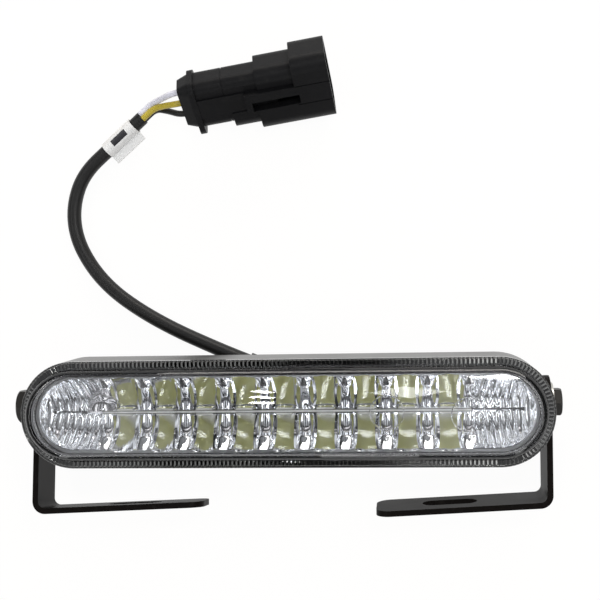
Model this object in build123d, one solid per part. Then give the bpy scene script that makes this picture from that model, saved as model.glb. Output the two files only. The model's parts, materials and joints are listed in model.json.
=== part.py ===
from build123d import *
import math
import os

os.makedirs("parts", exist_ok=True)

# Daytime running light lying on its back: +X along the lamp, +Y towards its top edge, +Z out of the lens.
# The origin is the middle of the back, on the lamp's axis.

# Outline and depths
lamp_length = 160.0
lamp_height = 32.4
rib_depth = 9.0
floor_thickness = 2.5
taper_depth = 6.5
side_depth = 16.5
wall = 2.2
back_inset = 5.2
rim_ledge = 1.9
rim_thickness = 2.5

# Lens
flange_thickness = 2.0
flange_width = 2.4
lens_wall = 1.8
dome_height = 4.6
crown_radius = 55.0
dome_edge_radius = 2.2
window_edge_radius = 1.1
gasket_width = 1.2
gasket_height = 1.2
gasket_inset = 0.8

# Reflector
reflector_fit = 0.2
cup_depth = 9.9
cup_rim_web = 0.3
rim_lip = 0.6
shell_thickness = 2.0
cup_pitch = 12.3
cups_in_row = 9
cup_width = 6.6
pillar_rise = 2.4
pillar_radius = 2.6
pillar_sink = 1.5
flute_radius = 1.3
flute_step = 22.5
flutes_per_end = 8
straight_flutes = 2
straight_flute_pitch = 2.6
straight_flute_start = 1.9
ridge_thickness = 1.0
half_dome_radius = 4.8
half_dome_place = 0.7
half_dome_rise = 3.0
boss_drop = 2.3

# Light-emitting diodes and their board
board_thickness = 1.0
board_clearance = 0.15
board_overhang = 4.3
board_lift = 1.5
board_front = 6.0
led_width = 5.0
led_depth = 5.0
led_lift = 0.4
led_height = 0.5
phosphor_margin = 0.15
phosphor_height = 0.25
holder_from_end = 10.0
holder_width = 3.0
holder_height = 5.0
holder_cheek = 3.0
resistor_size = (3.2, 0.7, 1.6)
resistor_spacing = 6.0
resistor_start = 9.0
resistors = 6
driver_size = (6.0, 1.6, 5.0)
header_size = (9.0, 4.0, 4.0)
header_place = 10.0
lead_pitch = 2.6
lead_diameter = 1.6
lead_clearance = 0.3

# Screws through the back
screw_column = 3
screw_spacing_y = 12.4
screw_diameter = 3.0
screw_length = 11.5
screw_head_diameter = 5.6
screw_head_height = 1.9
screw_head_edge = 0.6
post_diameter = 6.4
screw_clearance = 0.1

# Ribs on the back
rib_width = 2.2
rib_height = 18.0
rib_positions = (27.0, 42.0, 57.0)
pad_length = 22.0
pad_height = 11.0
pad_place = (3.0, -2.5)

# Pivots and brackets
pivot_height = 11.0
boss_reach = 17.0
end_inset = 1.0
strip_width = 16.5
strip_thickness = 1.8
bend_radius = 4.0
leg_length = 33.0
foot_length = 54.0
foot_tip_radius = 4.5
slot_width = 6.5
slot_length = 17.0
slot_from_tip = 23.0
left_swing = -8.5
left_foot_slope = 2.4
right_foot_slope = -3.2
bolt_diameter = 5.0
bolt_clearance = 0.08
left_head_flats = 10.0
left_head_height = 5.2
right_head_flats = 8.0
right_head_height = 2.7
bolt_grip = 11.0
washer_diameter = 12.0
washer_thickness = 1.0
spring_diameter = 10.8
spring_thickness = 1.2
spring_gap = 1.0
spring_slant = 20.0
insert_diameter = 8.6
insert_length = 13.0
insert_fit = 0.02

# Cable outlet and cable
cable_diameter = 4.6
cable_fit = 0.06
cable_lead = 5.0
cable_clearance = 0.05
outlet_angle = 158.3
outlet_start = (9.5, 3.8)
outlet_length = 14.0
outlet_back = 4.6
outlet_wall = 1.2
grommet_wall = 1.1
grommet_plug = 6.0
grommet_collar = 0.7
grommet_collar_thickness = 1.4
grommet_reach = 11.0
grommet_tip_wall = 0.7
grommet_fit = 0.05
bend_share = 0.45
# corners of the cable's route in X and Y, with the height above the level that it lies at
cable_route = [
    (-28.9, 19.3, 0.75),
    (-39.0, 23.9, 0.0),
    (-49.4, 29.8, 0.0),
    (-58.9, 36.7, 0.0),
    (-66.0, 44.8, 0.0),
    (-70.9, 54.6, 0.0),
    (-71.6, 65.0, 0.1),
    (-67.6, 75.6, 0.6),
    (-56.9, 84.5, 1.5),
    (-46.9, 92.9, 2.6),
]

# Marker sleeve on the cable
sleeve_length = 12.2
sleeve_thickness = 0.3
sleeve_fit = 0.15
flag_width = 3.0
flag_thickness = 0.6
sleeve_from_end = 9.9

# Single wires
wire_diameter = 2.0
wire_gap = 0.19
wire_fit = 0.25
wire_lead = 2.0
wire_straight = 5.0
wire_bow = 0.3
# name, angle round the middle of the cable, place in the connector
wires = [("white", 180, 1), ("yellow", 60, 0), ("black", 300, -1)]

# Connector, lying on its edge
connector_place = (-28.6, 96.7)
connector_angle = 8.5
connector_roll = 41.3
connector_length = 43.7
mouth_width = 24.4
mouth_height = 14.3
hood_length = 11.0
hood_corner = 4.5
hood_wall = 1.7
collar_length = 11.5
collar_width = 20.4
collar_height = 12.4
collar_corner = 4.0
collar_shift = (-0.5, -0.6)
hood_cheek = 12.5
collar_cheek = 9.5
body_width = 17.2
body_height = 9.6
body_corner = 3.0
body_groove = 0.4
body_groove_place = 10.4
spine_rise = 0.5
latch_width = 7.0
latch_length = 16.0
latch_line = 0.3
window_width = 3.3
window_length = 15.0
window_depth = 2.8
window_place = -1.35
window_from_mouth = 10.0
socket_depth = 20.0
socket_width = 16.2
socket_height = 8.8
socket_corner = 2.0
rear_flange_width = 20.3
rear_flange_height = 11.0
rear_flange_shift = -0.85
rear_flange_thickness = 1.8
rear_cap_length = 3.6
rear_cap_taper = 20.0
contact_pitch = 4.4
contact_bore = 3.6
seal_length = 6.0
seal_fit = 0.05
tab_width = 1.5
tab_thickness = 0.8
tab_chamfer = 0.25
tab_recess = 8.0
tab_fit = 0.1
lock_thickness = 2.6
lock_fit = 0.15

# Heights that follow from the sizes above
back_z = rib_depth
floor_z = back_z + floor_thickness
floor_middle = back_z + floor_thickness / 2
side_z = back_z + taper_depth
rim_z = side_z + side_depth
flange_z = rim_z + flange_thickness
crown_z = flange_z + dome_height
end_x = lamp_length / 2 - end_inset
cup_z = rim_z - rim_lip - cup_depth
cup_base_z = cup_z - shell_thickness
boss_z = cup_base_z - boss_drop
blade_face = board_thickness / 2
slot_half = blade_face + board_clearance
board_length = (cups_in_row - 1) * cup_pitch + led_width + 2 * board_overhang
board_z = floor_z + board_lift
board_front_z = cup_z + board_front
cup_columns = [cup_pitch * (i - (cups_in_row - 1) / 2) for i in range(cups_in_row)]


def save(shape, node):
    export_step(shape, "parts/" + node + ".step")


def stadium(length, height, bottom, top):
    return Pos(0, 0, bottom) * extrude(SlotOverall(length, height), top - bottom)


def stadium_loft(small, large, bottom, top):
    lower = Pos(0, 0, bottom) * SlotOverall(*small)
    upper = Pos(0, 0, top) * SlotOverall(*large)
    return loft([lower, upper])


def along_x(radius, start, end, y, z):
    middle = (start + end) / 2
    return Pos(middle, y, z) * Rot(0, 90, 0) * Cylinder(radius, abs(end - start))


def upright(radius, bottom, top, x, y):
    return Pos(x, y, (bottom + top) / 2) * Cylinder(radius, top - bottom)


def block(x_size, y_size, bottom, top, x=0.0, y=0.0):
    return Pos(x, y, (bottom + top) / 2) * Box(x_size, y_size, top - bottom)


def parabola(start, vertex, rise):
    # exact parabola from its vertex at (start, vertex) to where it has risen by rise
    reach = math.sqrt(4 * cup_focal_length * rise)
    return Bezier((start, 0, vertex), (start + reach / 2, 0, vertex), (start + reach, 0, vertex + rise))


# Housing: tapered tub with a ledge round its mouth, ribs on its back and a boss at each end
outline = (lamp_length, lamp_height)
back_outline = (lamp_length - 2 * back_inset, lamp_height - 2 * back_inset)
inner_outline = (lamp_length - 2 * wall, lamp_height - 2 * wall)
inner_back = (back_outline[0] - wall, back_outline[1] - wall)
mouth = (inner_outline[0] - 2 * rim_ledge, inner_outline[1] - 2 * rim_ledge)
grommet_diameter = cable_diameter + 2 * grommet_wall
outlet_diameter = grommet_diameter + 2 * outlet_wall
outlet_height = outlet_diameter / 2
screw_places = [(sx * screw_column * cup_pitch, sy * screw_spacing_y / 2) for sx in (-1, 1) for sy in (-1, 1)]

housing = stadium_loft(back_outline, outline, back_z, side_z) + stadium(*outline, side_z, rim_z)
cavity = stadium_loft(inner_back, inner_outline, floor_z, side_z + wall)
cavity += stadium(*inner_outline, side_z + wall, rim_z - rim_thickness)
cavity += stadium(*mouth, rim_z - rim_thickness, rim_z)
housing -= cavity
rib_slab = block(rib_width, rib_height, 0, floor_middle)
for x in rib_positions:
    housing += [Pos(x, 0, 0) * rib_slab, Pos(-x, 0, 0) * rib_slab]
housing += [upright(post_diameter / 2, floor_middle, boss_z, x, y) for x, y in screw_places]
holder_y = board_thickness + 2 * (board_clearance + holder_cheek)
for side in (-1, 1):
    holder_x = side * (board_length / 2 - holder_from_end)
    housing += block(holder_width, holder_y, floor_middle, floor_z + holder_height, holder_x)
    housing += along_x(strip_width / 2, side * (end_x - boss_reach), side * end_x, 0, pivot_height)
    flat_x = side * (end_x + lamp_height / 2)
    housing -= block(lamp_height, lamp_height, 0, rim_z - rim_thickness, flat_x)

# The cable outlet is a closed tube lying along the back, beside a pad that the lamp also rests on
header_y = blade_face + header_size[1] / 2
outlet_way = Pos(*outlet_start, outlet_height) * Rot(0, 0, outlet_angle) * Rot(0, 90, 0)
tube_length = outlet_back + outlet_wall + outlet_length
saddle_depth = floor_middle - outlet_height
outlet = outlet_way * Pos(0, 0, outlet_length - tube_length / 2) * Cylinder(outlet_diameter / 2, tube_length)
saddle = outlet_way * Pos(-saddle_depth / 2, 0, outlet_length - tube_length / 2)
outlet += saddle * Box(saddle_depth, outlet_diameter, tube_length)
housing += outlet + block(pad_length, pad_height, 0, floor_middle, *pad_place)
bore_length = outlet_back + outlet_length
gland_middle = outlet_way * Pos(0, 0, outlet_length - bore_length / 2)
gland_bore = gland_middle * Cylinder(grommet_diameter / 2, bore_length)
lead_room = lead_diameter + 2 * lead_clearance
lead_slot = Pos(header_place, header_y, outlet_height) * SlotOverall(2 * lead_pitch + lead_room, lead_room)
housing -= gland_bore + extrude(lead_slot, floor_z - outlet_height)
for x, y in screw_places:
    housing -= upright(screw_diameter / 2 + screw_clearance, back_z, boss_z, x, y)
blade_slot = block(board_length, 2 * slot_half, board_z, rim_z)
housing -= blade_slot
for side in (-1, 1):
    housing -= along_x(insert_diameter / 2, side * (end_x - insert_length), side * end_x, 0, pivot_height)
gasket_outer = (lamp_length - 2 * gasket_inset, lamp_height - 2 * gasket_inset)
gasket_inner = (gasket_outer[0] - 2 * gasket_width, gasket_outer[1] - 2 * gasket_width)
gasket = stadium(*gasket_outer, rim_z - gasket_height, rim_z) - stadium(*gasket_inner, 0, rim_z)
housing -= gasket
save(housing, "housing")
save(gasket, "lens_gasket")

# Lens: flat flange and a crowned, round-edged window raised on it
dome_outline = (lamp_length - 2 * flange_width, lamp_height - 2 * flange_width)


def dome(size, bottom, top, radius, edge):
    crown = Pos(0, 0, top - radius) * Rot(0, 90, 0) * Cylinder(radius, 2 * lamp_length)
    body = stadium(*size, bottom, top) & crown
    rim = body.edges().filter_by(lambda e: e.center().Z > (bottom + top) / 2)
    rim = rim.filter_by(lambda e: e.bounding_box().min.Z > bottom + edge)
    return fillet(rim, edge)


lens = stadium(*outline, rim_z, flange_z) + dome(dome_outline, rim_z, crown_z, crown_radius, dome_edge_radius)
window = (dome_outline[0] - 2 * lens_wall, dome_outline[1] - 2 * lens_wall)
lens -= dome(window, rim_z, crown_z - lens_wall, crown_radius - lens_wall, window_edge_radius)
save(lens, "lens")

# Reflector: two rows of half cups either side of the board, with round-faced pillars between the cups,
# and in each rounded end a ridge in line with the board between fanned flutes
reflector_length = mouth[0] - 2 * reflector_fit
reflector_height = mouth[1] - 2 * reflector_fit
bowl_x = (reflector_length - reflector_height) / 2
half_height = reflector_height / 2
cup_reach = half_height - blade_face - cup_rim_web
cup_focal_length = cup_reach ** 2 / (4 * (cup_depth + rim_lip))


def bowl_section(start, vertex, rise, top):
    curve = parabola(start, vertex, rise)
    end = curve @ 1
    lines = [
        Line((0, 0, vertex), (start, 0, vertex)),
        curve,
        Line(end, (end.X, 0, top)),
        Line((end.X, 0, top), (0, 0, top)),
        Line((0, 0, top), (0, 0, vertex)),
    ]
    return make_face(lines)


def long_bowl(section):
    end = revolve(section, Axis.Z, 360)
    half = extrude(Rot(0, 0, 90) * section, bowl_x, dir=(1, 0, 0), both=True)
    other = extrude(Rot(0, 0, -90) * section, bowl_x, dir=(1, 0, 0), both=True)
    return half + other + Pos(bowl_x, 0, 0) * end + Pos(-bowl_x, 0, 0) * end


over = rim_z + rim_lip
skirt_rise = (half_height - blade_face - shell_thickness) ** 2 / (4 * cup_focal_length)
shell = long_bowl(bowl_section(blade_face + shell_thickness, cup_base_z, skirt_rise, rim_z))
trough_z = cup_z + pillar_rise
trough_rise = cup_depth - pillar_rise
trough = long_bowl(bowl_section(blade_face, trough_z, trough_rise, over))


def bar(radius, vertex, rise):
    # round bar along an arc that follows the trough's wall
    wall_line = parabola(blade_face, vertex, rise)
    arc = ThreePointArc(wall_line @ 0, wall_line @ 0.5, wall_line @ 1)
    return sweep(Plane(origin=arc @ 0, z_dir=arc % 0) * Circle(radius), arc)


pillar = bar(pillar_radius, trough_z - pillar_sink, trough_rise + pillar_sink)
pillar_places = [cup_columns[0] - cup_pitch / 2] + [x + cup_pitch / 2 for x in cup_columns]
pillars = [Pos(x, 0, 0) * Rot(0, 0, side * 90) * pillar for x in pillar_places for side in (-1, 1)]

flute = bar(flute_radius, trough_z, trough_rise)
fan = [flute_step * (i - (flutes_per_end - 1) / 2) for i in range(flutes_per_end)]
flutes = [Pos(bowl_x, 0, 0) * Rot(0, 0, a) * flute for a in fan]
flutes += [Pos(-bowl_x, 0, 0) * Rot(0, 0, 180 + a) * flute for a in fan]
for i in range(straight_flutes):
    x = bowl_x - straight_flute_start - i * straight_flute_pitch
    flutes += [Pos(sx * x, 0, 0) * Rot(0, 0, sy * 90) * flute for sx in (-1, 1) for sy in (-1, 1)]

cup_curve = parabola(0, cup_z, cup_depth + 2 * rim_lip)
cup_end = cup_curve @ 1
cup_face = make_face([
    cup_curve,
    Line(cup_end, (0, 0, cup_end.Z)),
    Line((0, 0, cup_end.Z), (0, 0, cup_z)),
])
cup = revolve(cup_face, Axis.Z, 360) & block(cup_width, lamp_height, cup_z, cup_end.Z)
cups = [Pos(x, side * blade_face, 0) * cup for x in cup_columns for side in (-1, 1)]

ridge = block(reflector_length, ridge_thickness, cup_z, board_front_z) & shell
half_dome = Pos(-board_length / 2 - half_dome_place, 0, cup_z + half_dome_rise) * Sphere(half_dome_radius)
half_dome &= Pos(0, reflector_height / 2, 0) * Box(lamp_length, reflector_height, 2 * rim_z)
bosses = [upright(post_diameter / 2, boss_z, cup_z, x, y) for x, y in screw_places]
pilot_z = boss_z + screw_length - (boss_z - back_z) + screw_clearance
pilots = [upright(screw_diameter / 2 + screw_clearance, boss_z, pilot_z, x, y) for x, y in screw_places]
reflector = shell - trough
reflector += [pillar & shell for pillar in pillars]
reflector += bosses
reflector -= cups
reflector -= flutes
reflector += [ridge, half_dome & shell]
reflector -= block(board_length + 2 * board_clearance, 2 * slot_half, 0, over)
reflector -= pilots
save(reflector, "reflector")

# Board standing on edge between the two rows, with diodes on both faces near the focus of each cup
board = block(board_length, board_thickness, board_z, board_front_z)
save(board, "led_board")
led_z = cup_z + cup_focal_length + led_lift
packages = []
phosphors = []
for side in (-1, 1):
    for x in cup_columns:
        seat_y = side * (blade_face + led_height / 2)
        package = Pos(x, seat_y, led_z) * Box(led_width, led_height, led_depth)
        lit_y = side * (blade_face + led_height - phosphor_height / 2)
        lit = Box(led_width - 2 * phosphor_margin, phosphor_height, led_depth - 2 * phosphor_margin)
        lit = Pos(x, lit_y, led_z) * lit
        packages.append(package - lit)
        phosphors.append(lit)
save(Compound(children=packages), "led_packages")
save(Compound(children=phosphors), "led_phosphors")

parts_z = (board_z + cup_base_z) / 2
resistor_y = blade_face + resistor_size[1] / 2
resistor_places = [-resistor_start - i * resistor_spacing for i in range(resistors)]
chips = [Pos(x, resistor_y, parts_z) * Box(*resistor_size) for x in resistor_places]
save(Compound(children=chips), "series_resistors")
save(Pos(0, -blade_face - driver_size[1] / 2, parts_z) * Box(*driver_size), "current_driver")
save(Pos(header_place, header_y, parts_z) * Box(*header_size), "board_header")
lead_top = parts_z - header_size[2] / 2
lead_places = [header_place + i * lead_pitch for i in (-1, 0, 1)]
leads = [upright(lead_diameter / 2, outlet_height, lead_top, x, header_y) for x in lead_places]
save(Compound(children=leads), "inner_leads")

screws = []
for x, y in screw_places:
    head = upright(screw_head_diameter / 2, back_z - screw_head_height, back_z, x, y)
    head = fillet(head.edges().group_by(Axis.Z)[0], screw_head_edge)
    screws.append(head + upright(screw_diameter / 2, back_z, back_z + screw_length, x, y))
save(Compound(children=screws), "reflector_screws")


# Pivot hardware and brackets
def hardware(side, name, head_flats, head_height, sprung):
    def ring(diameter, start, end):
        disc = along_x(diameter / 2, start, end, 0, pivot_height)
        return disc - along_x(bolt_diameter / 2 + bolt_clearance, start, end, 0, pivot_height)

    washer_x = end_x + strip_thickness
    spring_x = washer_x + washer_thickness
    head_x = spring_x + (spring_thickness if sprung else 0)
    insert = ring(insert_diameter - 2 * insert_fit, end_x - insert_length, end_x)
    washer = ring(washer_diameter, washer_x, spring_x)
    seat = Plane(origin=(head_x, 0, pivot_height), z_dir=(1, 0, 0))
    head = extrude(seat * RegularPolygon(head_flats / 2, 6, major_radius=False), head_height)
    cone = Cone(head_flats / 2 + head_height, head_flats / 2, head_height)
    head &= seat * Pos(0, 0, head_height / 2) * cone
    bolt = head + along_x(bolt_diameter / 2, end_x - bolt_grip, head_x, 0, pivot_height)
    pieces = [("insert", insert), ("washer", washer), ("bolt", bolt)]
    if sprung:
        spring = ring(spring_diameter, spring_x, head_x)
        slit = Pos((spring_x + head_x) / 2, 0, pivot_height + spring_diameter / 2) * Rot(0, 0, spring_slant)
        pieces.append(("spring_washer", spring - slit * Box(spring_diameter, spring_gap, spring_diameter)))
    for node, solid in pieces:
        save(solid if side > 0 else mirror(solid, about=Plane.YZ), name + "_" + node)


def nearest_corner(face, x, y):
    return face.vertices().sort_by(lambda v: (v.X - x) ** 2 + (v.Y - y) ** 2)[0]


def bracket(side, swing, slope):
    # the leg's length is measured to the middle of the foot, which slopes by a few degrees
    outer_x = end_x + strip_thickness
    tip_x = outer_x - foot_length
    lean = math.tan(math.radians(slope))
    rise = foot_length * lean
    thickness_y = strip_thickness / math.cos(math.radians(slope))
    corner_y = -leg_length - rise / 2
    tip_y = corner_y + rise
    inside_y = corner_y + thickness_y + strip_thickness * lean
    section = make_face(Polyline(
        (end_x, 0), (outer_x, 0), (outer_x, corner_y), (tip_x, tip_y),
        (tip_x, tip_y + thickness_y), (end_x, inside_y), close=True))
    section = fillet(nearest_corner(section, outer_x, corner_y), bend_radius)
    section = fillet(nearest_corner(section, end_x, inside_y), bend_radius - strip_thickness)
    strip = Pos(0, 0, pivot_height) * extrude(section, strip_width / 2, both=True)
    strip += along_x(strip_width / 2, end_x, outer_x, 0, pivot_height)
    tip = strip.edges().filter_by(Axis.Y).group_by(Axis.X)[0]
    strip = fillet(tip, foot_tip_radius)
    strip -= along_x(bolt_diameter / 2 + bolt_clearance, end_x, outer_x, 0, pivot_height)
    slot_middle = (tip_x + slot_from_tip, min(corner_y, tip_y), pivot_height)
    slot_plane = Plane(origin=slot_middle, x_dir=(1, 0, 0), z_dir=(0, 1, 0))
    strip -= extrude(slot_plane * SlotOverall(slot_length, slot_width), abs(rise) + thickness_y)
    if side < 0:
        strip = mirror(strip, about=Plane.YZ)
    return Pos(0, 0, pivot_height) * Rot(swing, 0, 0) * Pos(0, 0, -pivot_height) * strip


hardware(1, "right", right_head_flats, right_head_height, sprung=False)
hardware(-1, "left", left_head_flats, left_head_height, sprung=True)
save(bracket(1, 0.0, right_foot_slope), "right_bracket")
save(bracket(-1, left_swing, left_foot_slope), "left_bracket")

# Rubber grommet: plug in the outlet, collar against its end and a taper along the cable
grommet_bore = cable_diameter / 2 + cable_fit
plug_radius = grommet_diameter / 2 - grommet_fit
collar_radius = grommet_diameter / 2 + grommet_collar
tip_radius = cable_diameter / 2 + grommet_tip_wall
plug_end = outlet_length - grommet_plug
collar_end = outlet_length + grommet_collar_thickness
grommet_end = outlet_length + grommet_reach
grommet_face = make_face(Polyline(
    (grommet_bore, plug_end), (plug_radius, plug_end), (plug_radius, outlet_length),
    (collar_radius, outlet_length), (collar_radius, collar_end), (plug_radius, collar_end),
    (tip_radius, grommet_end), (grommet_bore, grommet_end), close=True))
save(outlet_way * revolve(Plane.XZ * grommet_face, Axis.Z, 360), "cable_grommet")


# Cable: straight runs joined by arcs as large as the runs allow
def route(points, name):
    radii = []
    corners = [Vector(*p) for p in points]
    for a, b, c in zip(corners, corners[1:], corners[2:]):
        turn = math.radians((b - a).get_angle(c - b))
        radii.append(bend_share * min((b - a).length, (c - b).length) / math.tan(turn / 2))
    path = FilletPolyline(*corners, radius=radii)
    print(name, "length", round(path.length, 1), "radii", [round(r, 1) for r in radii])
    return path


def tube(path, diameter, name):
    solid = sweep(Plane(origin=path @ 0, z_dir=path % 0) * Circle(diameter / 2), path)
    share = solid.volume / (path.length * math.pi * diameter ** 2 / 4)
    print(name, "volume over section times length", round(share, 4))
    return solid


cable_rest = cable_diameter / 2 + cable_clearance
cable_start = outlet_way * Pos(0, 0, outlet_length + grommet_reach / 2)
cable_bend = outlet_way * Pos(0, 0, grommet_end + cable_lead)
cable_points = [tuple(cable_start.position), tuple(cable_bend.position)]
cable_points += [(x, y, cable_rest + lift) for x, y, lift in cable_route]
cable_path = route(cable_points, "cable")
save(tube(cable_path, cable_diameter, "cable"), "cable_sheath")

# Marker sleeve: wrapped round the cable, its two ends stuck together as a flag
sleeve_share = 1 - sleeve_from_end / cable_path.length
sleeve_run = cable_path % sleeve_share
sleeve_side = Vector(sleeve_run.Y, -sleeve_run.X, 0)
sleeve_plane = Plane(origin=cable_path @ sleeve_share, x_dir=sleeve_side, z_dir=sleeve_run)
sleeve_bore = cable_diameter / 2 + sleeve_fit
flag = Pos(sleeve_bore + flag_width / 2, 0) * Rectangle(flag_width, flag_thickness)
wrap = Circle(sleeve_bore + sleeve_thickness) + flag - Circle(sleeve_bore)
save(extrude(sleeve_plane * wrap, sleeve_length / 2, both=True), "marker_sleeve")

# Connector: stepped body with a hood round three tabs, and a latch bridge with a window on one wide face
heading = math.radians(connector_angle)
roll = math.radians(connector_roll)
corner_x = mouth_width / 2 - hood_corner
corner_y = mouth_height / 2 - hood_corner
connector_height = corner_x * math.cos(roll) + corner_y * math.sin(roll) + hood_corner
leaning = Vector(-math.sin(heading), math.cos(heading), 0) * math.sin(roll)
connector = Plane(
    origin=(*connector_place, connector_height),
    x_dir=leaning + Vector(0, 0, math.cos(roll)),
    z_dir=(math.cos(heading), math.sin(heading), 0),
).location


def rounded(width, height, corner, low, high, shift=(0.0, 0.0)):
    return Pos(*shift, low) * extrude(RectangleRounded(width, height, corner), high - low)


def below_latch(solid):
    side = Pos(-latch_width / 2 - mouth_width / 2, 0, 0)
    return solid & side * Box(mouth_width, 2 * mouth_height, 2 * connector_length)


hood_start = connector_length - hood_length
collar_start = hood_start - collar_length
socket_floor = connector_length - socket_depth
latch_start = hood_start - latch_length
window_end = connector_length - window_from_mouth
face_y = mouth_height / 2
hood = (mouth_width, mouth_height, hood_corner)
collar = (collar_width, collar_height, collar_corner)
hood_socket = (mouth_width - 2 * hood_wall, mouth_height - 2 * hood_wall, hood_corner - hood_wall)
contact_places = [contact_pitch * i for i in (-1, 0, 1)]
wire_entry = wire_diameter + 2 * wire_fit
body_start = rear_flange_thickness

shell_body = rounded(body_width, body_height, body_corner, body_start, hood_start)
groove = rounded(mouth_width, mouth_height, hood_corner, 0, body_groove)
groove -= rounded(body_width - body_groove, body_height - body_groove, body_corner, 0, body_groove)
shell_body -= Pos(0, 0, body_groove_place) * groove
spine_y = body_height / 2 + spine_rise
spine = Box(latch_width, spine_y, hood_start - body_start)
shell_body += Pos(0, spine_y / 2, (body_start + hood_start) / 2) * spine
shell_body += rounded(*collar, collar_start, hood_start, collar_shift)
shell_body += below_latch(rounded(*collar, collar_start - collar_cheek, collar_start, collar_shift))
shell_body += below_latch(rounded(*hood, hood_start - hood_cheek, hood_start))
shell_body += rounded(*hood, hood_start, connector_length)
shell_body += Pos(0, face_y / 2, (latch_start + hood_start) / 2) * Box(latch_width, face_y, latch_length)
line = Pos(0, face_y, (hood_start + connector_length) / 2) * Box(latch_line, 2 * latch_line, hood_length)
shell_body -= [Pos(-latch_width / 2, 0, 0) * line, Pos(latch_width / 2, 0, 0) * line]
shell_body -= rounded(socket_width, socket_height, socket_corner, socket_floor, connector_length)
shell_body -= rounded(*hood_socket, hood_start + hood_wall, connector_length)
latch_window = Box(window_width, 2 * window_depth, window_length)
shell_body -= Pos(window_place, face_y, window_end - window_length / 2) * latch_window
bore = Pos(0, 0, (body_start + socket_floor) / 2) * Cylinder(contact_bore / 2, socket_floor - body_start)
shell_body -= [Pos(x, 0, 0) * bore for x in contact_places]
save(connector * shell_body, "connector_housing")

flange_size = (rear_flange_width, rear_flange_height, body_corner)
rear_cap = rounded(*flange_size, 0, rear_flange_thickness, (rear_flange_shift, 0))
cap_outline = RectangleRounded(body_width, body_height, body_corner)
rear_cap += extrude(cap_outline, -rear_cap_length, taper=rear_cap_taper)
cap_depth = rear_flange_thickness + rear_cap_length
for x in contact_places:
    rear_cap -= Pos(x, 0, rear_flange_thickness - cap_depth / 2) * Cylinder(wire_entry / 2, cap_depth)
save(connector * rear_cap, "connector_rear_cap")

crimp_start = body_start + seal_length
tab_end = connector_length - tab_recess
seal = Cylinder(contact_bore / 2 - seal_fit, seal_length) - Cylinder(wire_entry / 2, seal_length)
barrel = Cylinder(contact_bore / 2 - seal_fit, socket_floor - crimp_start)
blade = Box(tab_width, tab_thickness, tab_end - socket_floor)
blade = chamfer(blade.edges().group_by(Axis.Z)[-1], tab_chamfer)
lock = rounded(socket_width - 2 * lock_fit, socket_height - 2 * lock_fit, socket_corner,
               socket_floor, socket_floor + lock_thickness)
tab_hole = Box(tab_width + 2 * tab_fit, tab_thickness + 2 * tab_fit, lock_thickness)
seals = []
tabs = []
for x in contact_places:
    seals.append(Pos(x, 0, body_start + seal_length / 2) * seal)
    contact = Pos(x, 0, (crimp_start + socket_floor) / 2) * barrel
    tabs.append(contact + Pos(x, 0, (socket_floor + tab_end) / 2) * blade)
    lock -= Pos(x, 0, socket_floor + lock_thickness / 2) * tab_hole
save(connector * Compound(children=seals), "wire_seals")
save(connector * Compound(children=tabs), "contact_tabs")
save(connector * lock, "contact_lock")

# Three wires from the end of the sheath into the connector
sheath_end = cable_path @ 1
last_run = cable_path % 1
across = Vector(last_run.Y, -last_run.X, 0).normalized()
above = across.cross(last_run)
wire_circle = (wire_diameter + wire_gap) / math.sqrt(3)
for name, angle, place in wires:
    turned = math.radians(angle)
    offset = across * math.cos(turned) + above * math.sin(turned)
    start = sheath_end + offset * wire_circle
    straight_end = start + last_run * wire_straight
    entry = connector * Pos(place * contact_pitch, 0, body_start + seal_length / 2)
    outside_cap = connector * Pos(place * contact_pitch, 0, -rear_cap_length - wire_lead)
    middle = (straight_end + outside_cap.position) * 0.5 + last_run * wire_bow
    points = [start, straight_end, middle, outside_cap.position, entry.position]
    path = route([tuple(p) for p in points], "wire " + name)
    save(tube(path, wire_diameter, "wire " + name), "wire_" + name)
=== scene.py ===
import json
import math
import bmesh
import bpy
import numpy as np
from mathutils import Matrix, Vector


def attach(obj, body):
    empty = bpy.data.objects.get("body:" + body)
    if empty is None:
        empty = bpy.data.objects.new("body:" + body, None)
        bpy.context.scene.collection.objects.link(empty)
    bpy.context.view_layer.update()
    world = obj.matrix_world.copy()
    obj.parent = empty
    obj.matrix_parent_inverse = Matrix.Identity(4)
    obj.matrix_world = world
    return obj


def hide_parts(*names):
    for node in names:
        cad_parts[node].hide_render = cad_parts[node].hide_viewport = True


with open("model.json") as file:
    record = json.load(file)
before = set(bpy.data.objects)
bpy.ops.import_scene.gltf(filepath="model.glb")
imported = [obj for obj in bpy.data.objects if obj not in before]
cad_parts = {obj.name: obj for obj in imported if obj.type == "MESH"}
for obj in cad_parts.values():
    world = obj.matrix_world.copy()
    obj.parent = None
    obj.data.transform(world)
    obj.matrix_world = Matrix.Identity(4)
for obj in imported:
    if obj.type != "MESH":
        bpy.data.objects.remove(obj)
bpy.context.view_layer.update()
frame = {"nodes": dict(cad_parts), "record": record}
nodes = frame["nodes"]
scene = bpy.context.scene
scene.view_settings.view_transform = "Standard"
MM = 0.001

# Lens, in millimetres: stadium outline with a flat flange round a crowned window
STRAIGHT_HALF = 63.8
OUTER_RADIUS = 16.2
RIM_Z = 32.0
FLANGE_Z = 34.0
FLANGE_CHAMFER = 0.25
FLANGE_WIDTH = 2.4
FLANGE_FILLET = 0.3
CROWN_Z = 38.59
CROWN_RADIUS = 55.0
CROWN_EDGE_RADIUS = 2.2
CROWN_INSETS = (0.0, 0.08, 0.3, 0.65, 1.1, 1.6, 2.2, 3.4, 5.2, 7.5, 10.0, 12.2, 13.8)
LENS_WALL = 1.8
LENS_GAP = 0.02
LENS_CREASE = 30
WALL_FOOT_INSET = 4.0
WALL_INSET = 4.2
WALL_MIDDLE = 12.95
WALL_HALF = 0.92
WINDOW_EDGE_RADIUS = 1.1
WINDOW_INSETS = (0.0, 0.1, 0.35, 0.7, 1.1, 2.4, 4.4, 7.0, 9.6, 12.0)
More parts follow.
